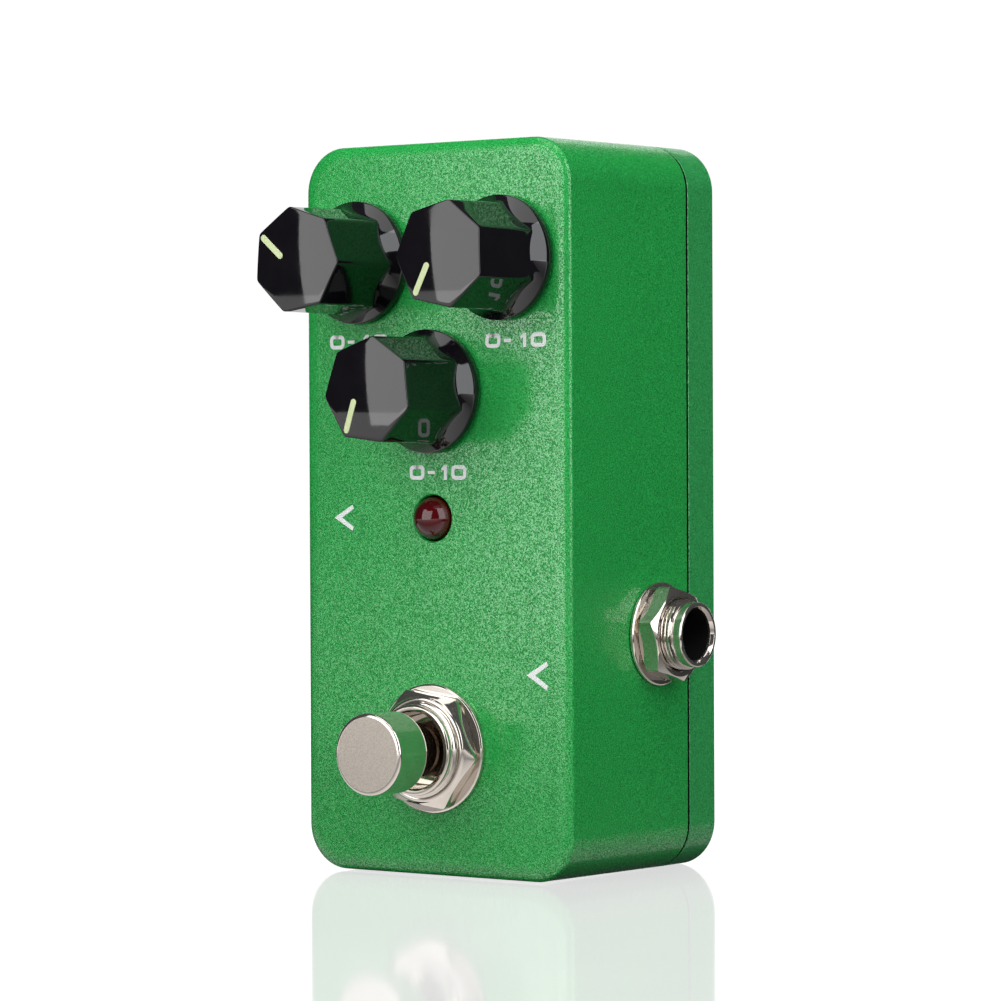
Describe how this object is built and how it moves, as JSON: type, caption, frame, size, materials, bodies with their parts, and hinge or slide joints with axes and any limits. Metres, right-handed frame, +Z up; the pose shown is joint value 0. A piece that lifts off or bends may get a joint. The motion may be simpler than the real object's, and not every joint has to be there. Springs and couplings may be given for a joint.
{
  "type": "guitar effects pedal",
  "caption": "Mini guitar effects pedal: green die-cast box with knobs, indicator, footswitch, side jacks and top power socket.",
  "frame": {"origin": "middle of the short end that the pedal stands on, halfway between the control face and the back plate's face", "axes": "+Z up along the long side, towards the knobs; the control face looks along -Y and the back plate along +Y; the input jack is on +X"},
  "size_m": [0.0546, 0.0469, 0.0935],
  "materials": {
    "green_paint": "metallic powder coat with fine sparkle",
    "green_paint_back": "matt metallic powder coat",
    "knob_black": "gloss moulded",
    "pointer_cream": "satin",
    "chrome": "bright nickel plate",
    "steel": "satin",
    "brass": "satin",
    "pot_can": "satin",
    "housing_black": "matt moulded",
    "relay_cream": "matt moulded",
    "cap_sleeve": "gloss shrink sleeve",
    "board_green": "solder-mask lacquer",
    "led_red": "dark red translucent epoxy",
    "rubber": "matt"
  },
  "bodies": {
    "case": {"enclosure_shell": "green_paint", "back_plate": "green_paint_back", "anti_slip_pad": "rubber", "back_plate_screw_1": "steel", "back_plate_screw_2": "steel", "back_plate_screw_3": "steel", "back_plate_screw_4": "steel", "level_pot_body": "pot_can", "level_pot_bushing": "brass", "level_pot_nut": "steel", "drive_pot_body": "pot_can", "drive_pot_bushing": "brass", "drive_pot_nut": "steel", "tone_pot_body": "pot_can", "tone_pot_bushing": "brass", "tone_pot_nut": "steel", "footswitch_spring": "steel", "footswitch_bushing": "chrome", "footswitch_outer_nut": "chrome", "footswitch_washer": "chrome", "footswitch_inner_nut": "steel", "footswitch_body": "housing_black", "footswitch_lug_1": "brass", "footswitch_lug_2": "brass", "indicator_lens": "led_red", "indicator_spacer": "housing_black", "indicator_leg_1": "steel", "indicator_leg_2": "steel", "input_jack_sleeve": "chrome", "input_jack_washer": "chrome", "input_jack_nut": "chrome", "input_jack_body": "housing_black", "output_jack_sleeve": "chrome", "output_jack_washer": "chrome", "output_jack_nut": "chrome", "output_jack_body": "housing_black", "power_socket_body": "housing_black", "power_socket_pin": "chrome", "power_socket_contact": "brass", "main_board": "board_green", "io_board": "board_green", "board_header": "housing_black", "amplifier_chip": "housing_black", "bypass_relay": "relay_cream", "capacitor_1": "cap_sleeve", "capacitor_2": "cap_sleeve"},
    "level_control": {"level_knob": "knob_black", "level_knob_pointer": "pointer_cream", "level_pot_shaft": "steel"},
    "drive_control": {"drive_knob": "knob_black", "drive_knob_pointer": "pointer_cream", "drive_pot_shaft": "steel"},
    "tone_control": {"tone_knob": "knob_black", "tone_knob_pointer": "pointer_cream", "tone_pot_shaft": "steel"},
    "footswitch_plunger": {"footswitch_cap": "chrome", "footswitch_stem": "steel"},
    "input_contact": {"input_jack_tip_contact": "brass"},
    "output_contact": {"output_jack_tip_contact": "brass"}
  },
  "joints": [
    {"name": "level_turn", "type": "hinge", "parent": "case", "child": "level_control", "pos_m": [0.0112, -0.01615, 0.0783], "axis": [0, 1, 0], "range_deg": [0, 300]},
    {"name": "drive_turn", "type": "hinge", "parent": "case", "child": "drive_control", "pos_m": [-0.0116, -0.01615, 0.0783], "axis": [0, 1, 0], "range_deg": [-90, 210]},
    {"name": "tone_turn", "type": "hinge", "parent": "case", "child": "tone_control", "pos_m": [-0.0002, -0.01615, 0.0617], "axis": [0, 1, 0], "range_deg": [0, 300]},
    {"name": "footswitch_press", "type": "slide", "parent": "case", "child": "footswitch_plunger", "axis": [0, 1, 0], "range_m": [0, 0.0025], "stiffness_N_per_m": 1200, "springref_m": -0.004, "deforming": ["footswitch_spring"]},
    {"name": "input_contact_flex", "type": "hinge", "parent": "case", "child": "input_contact", "pos_m": [0.0036, 0.0033, 0.03528], "axis": [0, 1, 0], "range_deg": [0, 8], "stiffness_Nm_per_rad": 0.05},
    {"name": "output_contact_flex", "type": "hinge", "parent": "case", "child": "output_contact", "pos_m": [-0.0036, 0.0033, 0.05017], "axis": [0, -1, 0], "range_deg": [0, 8], "stiffness_Nm_per_rad": 0.05}
  ]
}
